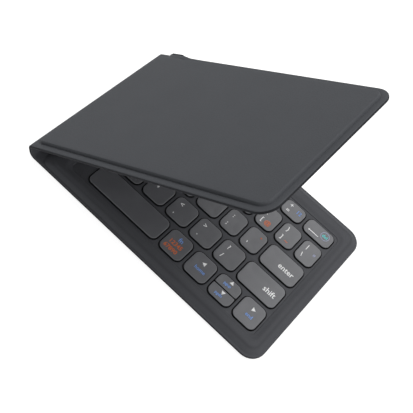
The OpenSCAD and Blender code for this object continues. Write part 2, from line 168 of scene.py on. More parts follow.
# The printed legends
INK_LOW, INK_HIGH = -0.05 * MM, 0.03 * MM
CAPITAL = 0.682  # a capital's height in the built-in font
STROKE = 0.05 * MM
LETTER_H = 2.4 * MM
CAPITAL_H = LETTER_H * 1.15
WORD_H = 2.9 * MM
SMALL_H = 1.5 * MM
ARROW_WORD_H = SMALL_H * 1.25
ROW_WORD_H = SMALL_H * 1.2
DEL_H = 1.9 * MM
FN_H = 2.4 * MM
DIGITS_H = 2.2 * MM
SIGN_H = 2.5 * MM
ARROW, SHORT_ARROW = 2.2 * MM, 2.1 * MM
TRIANGLE_R = 0.62  # a triangle's radius as a share of its size
HEAD_HALF, HEAD_L = 1.5, 1.3  # a long arrow's head, in its line's width and its own half width
MARK_ACROSS = 0.29  # the place of letters and symbols across a cap

# How finely the meshes are divided
ARC_STEPS = 8
BEND_STEPS = 64
STRIP_STEPS = 24
BAND_STEPS = 5
FINE_STEPS, FINE_END = 50, 26 * MM  # along a half near the fold, and where the coarse steps start
COARSE_STEPS = 14
ACROSS_STEPS = 10
FOLD_SIDE_STEPS = 14
EDGE_STEPS = 6
SLOPE_STEPS = 8
FALL_STEPS = 12
RIM_STEPS = 5
RING_STEPS = 24
GLYPH_STEPS = 3
WELD = 1e7  # points are one where they agree to a ten-millionth of a metre


# The halves and the fold

def smooth(x):
    """An ease from 0 to 1."""
    x = min(1.0, max(0.0, x))
    return x * x * (3 - 2 * x)


def between(x, low, high):
    """An ease from 0 at low to 1 at high."""
    return smooth((x - low) / (high - low))


# The spine's middle stands FOLD_BULGE outside the line between the two folds
SPINE_TANGENT = SPINE_W / 2 - FOLD_BULGE / math.tan(FOLD)


def fold_curve(reach, tangent):
    """The length of the bend beside a fold line, and its line as (along, up, turn) points.

    The leather leaves the panel at reach and turns to the spine's direction. Where it starts
    and where it ends are both tangent away from the corner of the two directions."""
    a, b, line = 0.0, 0.0, []
    for i in range(BEND_STEPS + 1):
        line.append((a, b, FOLD * smooth(i / BEND_STEPS)))
        turn = FOLD * smooth((i + 0.5) / BEND_STEPS)
        a -= math.cos(turn) / BEND_STEPS
        b += math.sin(turn) / BEND_STEPS
    size = tangent * 2 * math.cos(FOLD / 2) / math.hypot(line[-1][0], line[-1][1])
    return size, [(reach + size * a, size * b, turn) for a, b, turn in line]


class Half:
    """One half of the keyboard: where its sheet space lies in the model.

    along and up are the model's directions of s and t. The leather's bend starts at reach, has
    this length, and joins the other half's at middle."""

    def __init__(self, name, axis, along, up, tangent):
        self.name, self.axis, self.along, self.up = name, axis, along, up
        self.mirrored = name == "left"
        self.body = name + "_half"
        self.reach = tangent - FOLD_BULGE / math.sin(FOLD)
        self.length, self.curve = fold_curve(self.reach, tangent)
        self.middle = self.reach - self.length - (SPINE_TANGENT - tangent)

    def bent(self, s, t):
        """Sheet coordinates as a place in the section: along the panel and up from it."""
        past = self.reach - s
        if past <= 0:
            return s, t
        at = min(past / self.length, 1) * (len(self.curve) - 1)
        i = min(int(at), len(self.curve) - 2)
        low, high = self.curve[i], self.curve[i + 1]
        a, b, turn = (p + (at - i) * (q - p) for p, q in zip(low, high))
        beyond = max(past - self.length, 0)
        return (a - beyond * math.cos(FOLD) + t * math.sin(turn),
                b + beyond * math.sin(FOLD) + t * math.cos(turn))

    def place(self, s, y, t):
        """Sheet coordinates as a point of the model."""
        a, b = self.bent(s, t)
        return Vector((self.axis.x, FRONT_Y + y, self.axis.z)) + a * self.along + b * self.up

    def sheet(self, point):
        """The sheet coordinates of a point on the flat part of the half."""
        d = point - self.axis
        return d.dot(self.along), point.y - FRONT_Y, d.dot(self.up)

    def sheet_box(self, node):
        """The lowest and highest sheet coordinates of a node."""
        points = [self.sheet(v.co) for v in nodes[node].data.vertices]
        return [min(c) for c in zip(*points)], [max(c) for c in zip(*points)]

    def bend_ends(self):
        """Where the leather starts and ends its bend between the half and the spine."""
        a, b, _ = self.curve[-1]
        return (self.axis + self.reach * self.along,
                self.axis + a * self.along + b * self.up)


tilt = 2 * FOLD
right = Half("right", right_axis, Vector((1, 0, 0)), Vector((0, 0, 1)), SPINE_TANGENT)
left = Half("left", left_axis, Vector((-math.cos(tilt), 0, math.sin(tilt))),
            Vector((math.sin(tilt), 0, math.cos(tilt))), SHARP_TANGENT)


# Meshes

def quads(rows, closed=True):
    """Faces between neighbouring rows of points."""
    faces = []
    for low, high in zip(rows, rows[1:]):
        count = len(low)
        for i in range(count if closed else count - 1):
            j = (i + 1) % count
            faces.append([low[i], low[j], high[j], high[i]])
    return faces


def build(name, half, groups, thickness=0, sharp=35, shade=None):
    """A mesh object from groups of faces of sheet points, each group with its material.

    Each vertex keeps its sheet coordinates and its painted shade, which darkens the leather.
    Edges are sharp above an angle of sharp degrees."""
    bm = bmesh.new()
    sheet_layer = bm.verts.layers.float_vector.new("sheet")
    shade_layer = bm.verts.layers.float.new("shade")
    found = {}

    def vertex(point):
        key = tuple(round(c * WELD) for c in point)
        if key not in found:
            found[key] = bm.verts.new(half.place(*point))
            found[key][sheet_layer] = Vector(point)
            found[key][shade_layer] = shade(point[0], point[1]) if shade else 0
        return found[key]

    for index, (faces, _) in enumerate(groups):
        for face in faces:
            verts = [vertex(p) for p in face]
            verts = [v for i, v in enumerate(verts) if v is not verts[i - 1]]
            if len(verts) > 2 and bm.faces.get(verts) is None:
                made = bm.faces.new(verts[::-1] if half.mirrored else verts)
                made.material_index = index
    mesh = bpy.data.meshes.new(name)
    bm.to_mesh(mesh)
    bm.free()
    for _, material in groups:
        mesh.materials.append(material)
    obj = bpy.data.objects.new(name, mesh)
    bpy.context.scene.collection.objects.link(obj)
    if thickness:
        solid = obj.modifiers.new("thickness", "SOLIDIFY")
        solid.thickness, solid.offset, solid.use_even_offset = thickness, -1, False
        apply_modifiers(obj)
    obj.data.polygons.foreach_set("use_smooth", [True] * len(obj.data.polygons))
    obj.data.set_sharp_from_angle(angle=math.radians(sharp))
    return obj


def apply_modifiers(obj):
    """Replace an object's mesh by the one that its modifiers make."""
    graph = bpy.context.evaluated_depsgraph_get()
    made = bpy.data.meshes.new_from_object(obj.evaluated_get(graph))
    old, obj.data = obj.data, made
    obj.modifiers.clear()
    bpy.data.meshes.remove(old)


def curve_faces(curve, lift):
    """The faces of a filled curve or text as lists of points, moved by lift."""
    obj = bpy.data.objects.new("outline", curve)
    bpy.context.scene.collection.objects.link(obj)
    evaluated = obj.evaluated_get(bpy.context.evaluated_depsgraph_get())
    mesh = evaluated.to_mesh()
    faces = [[tuple(mesh.vertices[i].co + Vector(lift)) for i in p.vertices]
             for p in mesh.polygons]
    evaluated.to_mesh_clear()
    bpy.data.objects.remove(obj)
    bpy.data.curves.remove(curve)
    return faces


def arc(cx, cy, r, start, end, steps=ARC_STEPS):
    """Points of an arc, with both of its ends. Angles in degrees."""
    turns = [math.radians(start + (end - start) * i / steps) for i in range(steps + 1)]
    return [(cx + r * math.cos(a), cy + r * math.sin(a)) for a in turns]


def rounded_box(rect, inset, radii):
    """A closed rounded rectangle, drawn in by inset. rect is (s0, y0, s1, y1), and the radii
    are those of its corners (s1, y0), (s1, y1), (s0, y1), (s0, y0)."""
    s0, y0, s1, y1 = rect[0] + inset, rect[1] + inset, rect[2] - inset, rect[3] - inset
    r = [max(radius - inset, LEAST_R) for radius in radii]
    return (arc(s1 - r[0], y0 + r[0], r[0], -90, 0) + arc(s1 - r[1], y1 - r[1], r[1], 0, 90)
            + arc(s0 + r[2], y1 - r[2], r[2], 90, 180)
            + arc(s0 + r[3], y0 + r[3], r[3], 180, 270))


def spread(values, low, high):
    """The values moved and scaled to run from low to high."""
    first, last = values[0], values[-1]
    return [low + (v - first) / (last - first) * (high - low) for v in values]


def steps_between(low, high, count):
    """Places at count equal steps from low to high, with both ends."""
    return [low + (high - low) * i / count for i in range(count + 1)]


# The covers' outlines

ALONG = (steps_between(INNER_BAND + INNER_FOLD_R, FINE_END, FINE_STEPS)
         + steps_between(FINE_END, PANEL_W - CORNER_R, COARSE_STEPS)[1:])
ACROSS = steps_between(CORNER_R, PANEL_D - CORNER_R, ACROSS_STEPS)


def strip(half, band):
    """Places from the middle of the spine to the raised face."""
    return (steps_between(half.middle, half.reach, STRIP_STEPS)
            + steps_between(half.reach, band, BAND_STEPS)[1:])


class Side:
    """The outer face of a half, or its border round the keys, raised from the lip.

    way is -1 for the outer face and 1 for the border. The lip is lip_w wide, and band wide at
    the fold, where the raised face's corners have the radius fold_r. Beside its foot the lip
    dips by crease. Shade is painted in a line, line_w wide, line_in inside the foot."""

    def __init__(self, way, lip_w, band, fold_r, crease, line_in, line_w):
        self.way, self.lip_w, self.band, self.fold_r = way, lip_w, band, fold_r
        self.crease, self.line_in, self.line_w = crease, line_in, line_w
        self.out_r = CORNER_R - lip_w

    def edge_row(self, half, inset):
        """A line at one inset: along the front edge, round the outer edge, back at the rear."""
        r, cx = CORNER_R - inset, PANEL_W - CORNER_R
        columns = strip(half, self.band)
        columns += steps_between(self.band, self.band + self.fold_r, ARC_STEPS)[1:]
        columns += spread(ALONG, self.band + self.fold_r, ALONG[-1])[1:]
        row = [(s, inset) for s in columns]
        row += arc(cx, CORNER_R, r, -90, 0)[1:-1]
        row += [(PANEL_W - inset, y) for y in ACROSS]
        row += arc(cx, PANEL_D - CORNER_R, r, 0, 90)[1:-1]
        row += [(s, PANEL_D - inset) for s in reversed(columns)]
        return row

    def fold_rows(self):
        """Places along the raised face's side at the fold, between its corners."""
        low = self.lip_w + self.fold_r
        return steps_between(low, PANEL_D - low, FOLD_SIDE_STEPS)

    def ring(self, s0, y0, s1, y1, r_fold, r_out):
        """A closed rounded rectangle with the same number of points whatever its size."""
        columns = spread(ALONG, s0 + r_fold, s1 - r_out)
        row = [(s, y0) for s in columns]
        row += arc(s1 - r_out, y0 + r_out, r_out, -90, 0)[1:-1]
        row += [(s1, y) for y in spread(ACROSS, y0 + r_out, y1 - r_out)]
        row += arc(s1 - r_out, y1 - r_out, r_out, 0, 90)[1:-1]
        row += [(s, y1) for s in reversed(columns)]
        row += arc(s0 + r_fold, y1 - r_fold, r_fold, 90, 180)[1:-1]
        row += [(s0, y) for y in reversed(spread(self.fold_rows(), y0 + r_fold, y1 - r_fold))]
        row += arc(s0 + r_fold, y0 + r_fold, r_fold, 180, 270)[1:-1]
        return row

    def raised_ring(self, depth):
        """The raised face's outline, drawn in by depth from where it leaves the lip."""
        inset = self.lip_w + depth
        return self.ring(self.band + depth, inset, PANEL_W - inset, PANEL_D - inset,
                         self.fold_r, max(CORNER_R - inset, FIELD_R))

    def outside(self, s, y):
        """Distance of a point from the raised face's foot, above 0 on the lip."""
        r = self.fold_r if s < PANEL_W / 2 else self.out_r
        s_mid, y_mid = (self.band + PANEL_W - self.lip_w) / 2, PANEL_D / 2
        x = abs(s - s_mid) - (PANEL_W - self.lip_w - s_mid) + r
        z = abs(y - y_mid) - (y_mid - self.lip_w) + r
        return min(max(x, z), 0) + math.hypot(max(x, 0), max(z, 0)) - r

    def pressed(self, s):
        """How strong the crease and the painted shade are, from 0 to 1.

        The crease and its painted shade weaken towards the outer edge; the groove's painted shade
        runs out at the fold."""
        if self.crease:
            return 1 - CREASE_FADE * between(s, *CREASE_FADE_S)
        return between(s, self.band, self.band + GROOVE_RUN)

    def shade(self, s, y):
        """Shade painted into the leather's colour at a point, along the crease or the groove."""
        away = self.outside(s, y) + self.line_in
        return self.pressed(s) * math.exp(-(away / self.line_w) ** 2)

    def lip(self, s, y, height=LIP_HALF):
        """A point of the lip: on its face, with the crease, or lower down on its edge."""
        dip = 0
        if height >= LIP_HALF:
            away = max(self.outside(s, y), 0)
            dip = self.crease * self.pressed(s) * math.exp(-(away / CREASE_W) ** 2)
        return s, y, self.way * (height - dip)

    def edge_profiles(self):
        """The rounded edge of one layer of the lip, as (inset, height) points: the part from the
        seam, coloured as edge paint and painted shade, then the rest up to the raised face."""
        seam = [(SEAM_IN, SEAM_T), (0, SEAM_EDGE_T)]
        bend = [(EDGE_R - x, LIP_HALF - EDGE_R + y)
                for x, y in arc(0, 0, EDGE_R, 0, 90, EDGE_STEPS)]
        flat = [(EDGE_R + share * (self.lip_w - EDGE_R), LIP_HALF) for share in LIP_SHARES]
        split = next(i for i, (inset, _) in enumerate(bend) if inset > EDGE_W)
        return seam + bend[:split + 1], bend[split:] + flat

    def faces(self, half, rings):
        """Faces of a cover: those of its cut edge, those of its lip, its strip at the fold and
        its raised rings, and the innermost ring.

        rings are (outline, height) pairs from the raised face's foot inwards."""
        edge, faces = (quads([[self.lip(s, y, height) for s, y in self.edge_row(half, inset)]
                              for inset, height in profile], closed=False)
                       for profile in self.edge_profiles())
        low_y, high_y, r = self.lip_w, PANEL_D - self.lip_w, self.fold_r
        rows_y = [low_y] + self.fold_rows() + [high_y]
        columns = strip(half, self.band)
        faces += quads([[self.lip(s, y) for s in columns] for y in rows_y], closed=False)
        beside = steps_between(self.band, self.band + r, ARC_STEPS)
        for y, inner_y, turn in ((low_y, low_y + r, 270), (high_y, high_y - r, 90)):
            bend = arc(self.band + r, inner_y, r, turn, 180)
            corner = [self.lip(s, y) for s in beside] + [self.lip(*p) for p in bend[1:]]
            faces.append(corner if turn == 90 else corner[::-1])
        base = [self.lip(s, y) for s, y in self.raised_ring(0)]
        rows = [base] + [[(s, y, self.way * t) for s, y in line] for line, t in rings]
        return edge, faces + quads(rows), rows[-1]


OUTER = Side(-1, OUTER_LIP, OUTER_BAND, OUTER_FOLD_R, CREASE, CREASE_IN, CREASE_W)
INNER = Side(1, INNER_LIP, INNER_BAND, INNER_FOLD_R, 0, GROOVE_IN, GROOVE_W)


def housing_half(s):
    """Half the housing's height at a place along the rear edge: its ends are round."""
    s0, t0, s1, t1 = HOUSING
    r = (t1 - t0) / 2
    past = max(s0 + r - s, s - (s1 - r), 0)
    return math.sqrt(max(0.0, r * r - past * past))


def swell(point, way):
    """A cover's point moved out round the port's housing, with the seam open for it."""
    s, y, t = point
    inset = PANEL_D - y
    if inset > SWELL_REACH:
        return point
    share = between(s, *SWELL_RISE) * (1 - between(s, *SWELL_FALL))
    height = way * t
    surface = LIP_HALF + share * (SWELL_T[way] - LIP_HALF)
    half = housing_half(s)
    seam = half + way * (HOUSING[1] + HOUSING[3]) / 2 + SWELL_GAP if half > 0 else 0
    seam = min(max(seam, SEAM_T), surface - SWELL_LEAST)
    if height > LIP_HALF:
        height = max(height, surface)
    else:
        height = seam + (surface - seam) * (height - SEAM_T) / (LIP_HALF - SEAM_T)
    y += SWELL_PROUD * share * max(0.0, 1 - inset / SWELL_REACH)
    return s, y, way * height


# Materials

NOISE = "ShaderNodeTexNoise"
LEATHER_TONES = (0.86, 1.1)
LEATHER_CLOUD = 18 * MM
PORE_SIZE, PORE_DEPTH = 0.35, 0.5
# the painted shade along the crease and the groove darkens the leather towards this share
SHADE_TONE = 0.25
PLASTIC_CLOUD = 9 * MM
BRUSHED_TONE = 0.85
BRUSHED_LENGTH = 5 * MM
BRUSHED_DEPTH = 0.005 * MM
NOISE_RANGE = (0.3, 0.7)


def new_material(name, color, roughness, specular, metallic=0.0):
    """A material with its node tree and its shader, whose plain values are set."""
    material = bpy.data.materials.new(name)
    material.use_nodes = True
    tree = material.node_tree
    shader = tree.nodes["Principled BSDF"]
    shader.inputs["Base Color"].default_value = (*color, 1)
    shader.inputs["Roughness"].default_value = roughness
    shader.inputs["Specular IOR Level"].default_value = specular
    shader.inputs["Metallic"].default_value = metallic
    return material, tree, shader


def srgb(r, g, b):
    """A colour as it is seen, from 0 to 255, as the shader's linear numbers."""
    def linear(c):
        c /= 255
        return c / 12.92 if c <= 0.04045 else ((c + 0.055) / 1.055) ** 2.4
    return linear(r), linear(g), linear(b)


def link(tree, source, target):
    """Join an output of a node to an input."""
    tree.links.new(source, target)


def math_node(tree, operation, *values):
    """The result of a sum on outputs and numbers."""
    node = tree.nodes.new("ShaderNodeMath")
    node.operation = operation
    for socket, value in zip(node.inputs, values):
        if isinstance(value, float):
            socket.default_value = value
        else:
            link(tree, value, socket)
    return node.outputs["Value"]


def attribute(tree, name, output):
    """What each vertex keeps under a name."""
    node = tree.nodes.new("ShaderNodeAttribute")
    node.attribute_name = name
    return node.outputs[output]


def object_place(tree):
    """A point's place in its object."""
    return tree.nodes.new("ShaderNodeTexCoord").outputs["Object"]


def texture(tree, kind, vector, size, **values):
    """A noise or cell texture whose features are size metres apart."""
    node = tree.nodes.new(kind)
    node.inputs["Scale"].default_value = 1 / size
    for name, value in values.items():
        node.inputs[name].default_value = value
    link(tree, vector, node.inputs["Vector"])
    return node


def mixed(tree, low, high, factor):
    """Two colours, each a tuple or an output, mixed by a factor."""
    node = tree.nodes.new("ShaderNodeMix")
    node.data_type = "RGBA"
    for name, color in (("A", low), ("B", high)):
        if isinstance(color, tuple):
            node.inputs[name].default_value = (*color, 1)
        else:
            link(tree, color, node.inputs[name])
    link(tree, factor, node.inputs["Factor"])
    return node.outputs["Result"]


def ranged(tree, value, low, high, to_low=0.0, to_high=1.0):
    """A value's range from low to high turned into another."""
    node = tree.nodes.new("ShaderNodeMapRange")
    for name, number in (("From Min", low), ("From Max", high),
                         ("To Min", to_low), ("To Max", to_high)):
        node.inputs[name].default_value = number
    link(tree, value, node.inputs["Value"])
    return node.outputs["Result"]


def bump(tree, shader, height, depth, normal=None):
    """A bump on the shader, over an earlier one where its normal is given."""
    node = tree.nodes.new("ShaderNodeBump")
    node.inputs["Distance"].default_value = depth
    link(tree, height, node.inputs["Height"])
    if normal is not None:
        link(tree, normal, node.inputs["Normal"])
    link(tree, node.outputs["Normal"], shader.inputs["Normal"])
    return node.outputs["Normal"]


def scaled(color, share):
    """A darker or lighter colour."""
    return tuple(c * share for c in color)


def white_rays(tree):
    """1 for the rays that show the white background: camera, glossy and transmission."""
    path = tree.nodes.new("ShaderNodeLightPath")
    value = path.outputs["Is Camera Ray"]
    for name in ("Is Glossy Ray", "Is Transmission Ray"):
        value = math_node(tree, "MAXIMUM", value, path.outputs[name])
    return value


def leather(name, color, grain=0.6 * MM, depth=0.03 * MM, roughness=(0.52, 0.66),
            crease_shade=0.3):
    """Fine-grained artificial leather: pebbled cells, finer pores, painted shade in creases."""
    material, tree, shader = new_material(name, color, roughness[0], specular=0.15)
    place = attribute(tree, "sheet", "Vector")
    cells = texture(tree, "ShaderNodeTexVoronoi", place, grain, Randomness=1.0)
    cells.feature = "SMOOTH_F1"
    pores = texture(tree, NOISE, place, grain * PORE_SIZE, Detail=3.0)
    cloud = texture(tree, NOISE, place, LEATHER_CLOUD, Detail=2.0)
    grain_height = ranged(tree, cells.outputs["Distance"], 0.1, 0.75, 1.0, 0.0)
    first = bump(tree, shader, grain_height, depth)
    bump(tree, shader, pores.outputs["Fac"], depth * PORE_DEPTH, first)
    cell_tone = ranged(tree, cells.outputs["Distance"], 0.2, 0.9, 0.5, 0.0)
    tone = math_node(tree, "MULTIPLY_ADD", cloud.outputs["Fac"], 0.5, cell_tone)
    low, high = (scaled(color, share) for share in LEATHER_TONES)
    # shade painted into the colour: darker along the crease and the groove
    dark = ranged(tree, attribute(tree, "shade", "Fac"), 0, 1, 0, crease_shade)
    link(tree, mixed(tree, mixed(tree, low, high, tone), scaled(color, SHADE_TONE), dark),
         shader.inputs["Base Color"])
    link(tree, ranged(tree, pores.outputs["Fac"], *NOISE_RANGE, *roughness),
         shader.inputs["Roughness"])
    return material


def plastic(name, color, roughness=(0.42, 0.56), grain=0.16 * MM, depth=0.012 * MM,
            contrast=0.08, specular=0.2):
    """Moulded plastic with a fine spark-eroded texture."""
    material, tree, shader = new_material(name, color, roughness[0], specular)
    place = object_place(tree)
    speck = texture(tree, NOISE, place, grain, Detail=2.0)
    cloud = texture(tree, NOISE, place, PLASTIC_CLOUD, Detail=2.0)
    bump(tree, shader, speck.outputs["Fac"], depth)
    link(tree, mixed(tree, scaled(color, 1 - contrast), scaled(color, 1 + contrast),
                     ranged(tree, cloud.outputs["Fac"], *NOISE_RANGE)),
         shader.inputs["Base Color"])
    link(tree, ranged(tree, speck.outputs["Fac"], *NOISE_RANGE, *roughness),
         shader.inputs["Roughness"])
    return material


def metal(name, color, roughness=(0.22, 0.38), stretch=(1, 30, 30)):
    """Metal brushed along x, its marks finer by stretch."""
    material, tree, shader = new_material(name, color, roughness[0], specular=0.5, metallic=1.0)
    mapping = tree.nodes.new("ShaderNodeMapping")
    mapping.inputs["Scale"].default_value = stretch
    link(tree, object_place(tree), mapping.inputs["Vector"])
    lines = texture(tree, NOISE, mapping.outputs["Vector"], BRUSHED_LENGTH, Detail=4.0)
    bump(tree, shader, lines.outputs["Fac"], BRUSHED_DEPTH)
    link(tree, mixed(tree, scaled(color, BRUSHED_TONE), color, lines.outputs["Fac"]),
         shader.inputs["Base Color"])
    link(tree, ranged(tree, lines.outputs["Fac"], *NOISE_RANGE, *roughness),
         shader.inputs["Roughness"])
    return material


def ink(name, color):
    """Printed ink, a little uneven."""
    return plastic(name, color, roughness=(0.45, 0.55), grain=0.3 * MM, depth=0.003 * MM,
                   contrast=0.05)


LEATHER = leather("outer_leather", srgb(80, 82, 86))
LINING = leather("inner_leather", srgb(80, 81, 85), grain=0.4 * MM, depth=0.015 * MM,
                 crease_shade=0.25)
# the dark cut edge: edge paint, and painted shade where the edge turns down from the light
EDGE = leather("edge_paint_and_shade", srgb(36, 37, 41), grain=0.3 * MM, depth=0.01 * MM)
CAPS = plastic("cap_plastic", srgb(94, 95, 99), specular=0.75)
# a lighter copy of the cap plastic on the rims: a painted highlight
RIM_HIGHLIGHT = plastic("cap_rims_painted_highlight", srgb(103, 104, 108), specular=0.75)
# a dark copy of the cap plastic on the caps' sides: painted shade in the gaps round them
CAP_SIDE_SHADE = plastic("cap_sides_painted_shade", srgb(26, 26, 28))
GRID = plastic("key_frame_plastic", srgb(79, 80, 84), roughness=(0.5, 0.62), grain=0.3 * MM,
               depth=0.03 * MM, contrast=0.1)
# a dark copy of the frame's plastic on its opening walls: painted shade in the gaps round the keys
GRID_SIDE_SHADE = plastic("key_frame_sides_painted_shade", srgb(24, 24, 26))
HOUSING_PLASTIC = plastic("housing_plastic", srgb(72, 73, 77))
WHITE = ink("white_ink", srgb(254, 254, 254))
ORANGE = ink("orange_ink", srgb(222, 116, 66))
BLUE = ink("blue_ink", srgb(122, 160, 226))
TEAL = ink("teal_ink", srgb(100, 214, 214))
PALE = ink("pale_ink", srgb(160, 164, 190))
INSIDE = {
    "plate": metal("plate_steel", srgb(190, 190, 194)),
    "film": plastic("contact_film", srgb(96, 128, 112), roughness=(0.2, 0.3)),
    "domes": plastic("dome_rubber", srgb(20, 20, 22), roughness=(0.5, 0.6)),
    "battery_wrap": plastic("battery_wrap", srgb(120, 123, 130), roughness=(0.25, 0.4)),
    "magnet": metal("magnet_nickel", srgb(200, 202, 206), stretch=(10, 10, 10)),
    "board": plastic("board_mask", srgb(22, 92, 58), roughness=(0.3, 0.4), contrast=0.2),
    "port": metal("port_steel", srgb(196, 197, 200)),
    "flex": plastic("flex_film", srgb(202, 128, 52), roughness=(0.25, 0.35)),
}


# Covers

def outer_rings():
    """The outer face: a step up from the lip, then flat."""
    rings = []
    for x in steps_between(0, 1, SLOPE_STEPS)[1:]:
        rise = (1 - (1 - x) ** OUTER_POWER) * (-PLATEAU_T - LIP_HALF)
        rings.append((OUTER.raised_ring(x * OUTER_SLOPE), LIP_HALF + rise))
    return rings + [(OUTER.raised_ring(depth), -PLATEAU_T) for depth in FACE_DEPTHS]


def inner_rings():
    """The border round the keys: a soft rise, a crown and a soft fall to the key frame."""
    rings = []
    for depth in BORDER_DEPTHS + [INNER_SLOPE]:
        rise = math.sin(depth / INNER_SLOPE * math.pi / 2) * (CROWN_T - LIP_HALF)
        dip = GROOVE * math.exp(-((depth - GROOVE_IN) / GROOVE_W) ** 2)
        rings.append((INNER.raised_ring(depth), LIP_HALF + rise - dip))

    def field_ring(out):
        """An outline round the field of keys, out away from it."""
        s0, y0, s1, y1 = FIELD
        r = FIELD_R + max(out, 0)
        return INNER.ring(s0 - out, y0 - out, s1 + out, y1 + out, r, r)

    for x in steps_between(0, 1, FALL_STEPS):
        height = CROWN_T - smooth(x) * (CROWN_T - DECK_T - FIELD_STEP)
        rings.append((field_ring(BORDER_FALL_W * (1 - x)), height))
    return rings + [(field_ring(out), height) for out, height in FIELD_TURN]


def make_covers(half):
    """The outer leather and the inner lining of a half, each with its side of the spine."""
    for part, side, rings, material, node in (
            ("leather", OUTER, outer_rings(), LEATHER, "outer_cover"),
            ("lining", INNER, inner_rings(), LINING, "inner_cover")):
        edge, faces, last = side.faces(half, rings)
        if side is OUTER:
            faces.append(last)
        if half is left:
            edge, faces = ([[swell(point, side.way) for point in face] for face in group]
                           for group in (edge, faces))
        # the cut edge takes the dark edge colour, edge paint and painted shade
        groups = [([face[::side.way] for face in group], surface)
                  for group, surface in ((faces, material), (edge, EDGE))]
        # the covers carry painted shade along the crease and the groove
        obj = build(half.name + "_" + part, half, groups, LEATHER_T, shade=side.shade)
        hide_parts(half.name + "_" + node)
        if half is right:
            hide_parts("spine_cover" if part == "leather" else "spine_lining")
        start, end = half.bend_ends()
        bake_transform(obj)
        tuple(start)
        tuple(end)


def make_cable(half):
    """The flat cable between the two layers of leather, bent with them."""
    ends = [v.co.y - FRONT_Y for v in nodes["flex_cable"].data.vertices]
    y0, y1, t = min(ends), max(ends), CABLE_HALF
    columns = steps_between(half.middle, 0, STRIP_STEPS)
    corners = [(y0, -t), (y0, t), (y1, t), (y1, -t)]
    rows = [[(s, y, high) for s in columns] for y, high in corners]
    faces = quads(rows + rows[:1], closed=False)
    faces += [[row[0] for row in rows], [row[-1] for row in reversed(rows)]]
    obj = build(half.name + "_cable", half, [(faces, INSIDE["flex"])])
    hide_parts("flex_cable")
    start, end = half.bend_ends()
    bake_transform(obj)
    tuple(start)
    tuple(end)


def make_housing():
    """The moulded housing with the charging port's oval opening."""
    (_, front, _), (_, rear, _) = left.sheet_box("port_housing")
    low, high = left.sheet_box("charging_port")
    port = (low[0], low[2], high[0], high[2])

    def oval(box, inset, y):
        """An outline with round ends: a box in s and t, drawn in by inset."""
        r = (box[3] - box[1]) / 2
        return [(s, y, t) for s, t in rounded_box(box, inset, [r] * 4)]

    rows = [oval(HOUSING, HOUSING_BACK, front), oval(HOUSING, 0, front + HOUSING_BACK)]
    for x, y in arc(HOUSING_EDGE, 0, HOUSING_EDGE, 180, 90, RIM_STEPS):
        rows.append(oval(HOUSING, x, rear - HOUSING_EDGE + y))
    rows += [oval(port, -MOUTH_FLARE, rear), oval(port, -MOUTH_GAP, rear - MOUTH_DEPTH),
             oval(port, -MOUTH_GAP, front), rows[0]]
    faces = [face[::-1] for face in quads(rows)]
    obj = build("port_surround", left, [(faces, HOUSING_PLASTIC)], sharp=40)
    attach(obj, left.body)
    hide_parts("port_housing")


# Legends

# The faces of a mark lie round its own origin, with x to the reader's right and y upwards. The
# marks of a cap are (ink, faces, across, up), with their places in shares of the cap's sides.
glyphs = {}


def word(text, height):
    """A text as a thin solid, centred, its capitals height tall."""
    if (text, height) not in glyphs:
        curve = bpy.data.curves.new("legend", "FONT")
        curve.body, curve.size, curve.align_x = text, height / CAPITAL, "CENTER"
        curve.resolution_u = GLYPH_STEPS
        curve.offset = STROKE
        curve.extrude = (INK_HIGH - INK_LOW) / 2
        lift = (0, -height / 2, (INK_HIGH + INK_LOW) / 2)
        glyphs[text, height] = curve_faces(curve, lift)
    return glyphs[text, height]


def plate(points):
    """A flat shape as a thin solid."""
    low, high = [(x, y, INK_LOW) for x, y in points], [(x, y, INK_HIGH) for x, y in points]
    return [high, low[::-1]] + quads([low, high])


def triangle(turn, size):
    """An arrow key's mark, pointing right before it is turned by turn degrees."""
    return plate(arc(0, 0, size * TRIANGLE_R, turn, turn + 360, 3)[:-1])


def ring_mark(r, width):
    """A flat ring."""
    corners = [(r, INK_LOW), (r, INK_HIGH), (r - width, INK_HIGH), (r - width, INK_LOW)]
    return quads([[(x, y, t) for x, y in arc(0, 0, radius, 0, 360, RING_STEPS)[:-1]]
                  for radius, t in corners + corners[:1]])


def back_arrow(length, width):
    """A long arrow to the left."""
    tip, half, head = -length / 2, width / 2, width * HEAD_HALF
    neck = tip + HEAD_L * head
    return plate([(tip, 0), (neck, -head), (neck, -half), (-tip, -half), (-tip, half),
                  (neck, half), (neck, head)])


def pair(shifted, base):
    """The two symbols at a cap's left side."""
    return [(WHITE, word(text, LETTER_H), MARK_ACROSS, up)
            for text, up in ((shifted, 0.73), (base, 0.3))]


def letter(text):
    """A letter in a cap's upper left corner."""
    return [(WHITE, word(text, CAPITAL_H), MARK_ACROSS, 0.66)]


def arrow_marks(turn, text):
    """An arrow key's triangle with a word under it."""
    return [(WHITE, triangle(turn, ARROW), 0.53, 0.7),
            (BLUE, word(text, ARROW_WORD_H), 0.55, 0.41)]


def short_arrow_marks(turn, text):
    """The same for a cap of half the height."""
    return [(WHITE, triangle(turn, SHORT_ARROW), 0.53, 0.76),
            (BLUE, word(text, SMALL_H), 0.44, 0.44)]


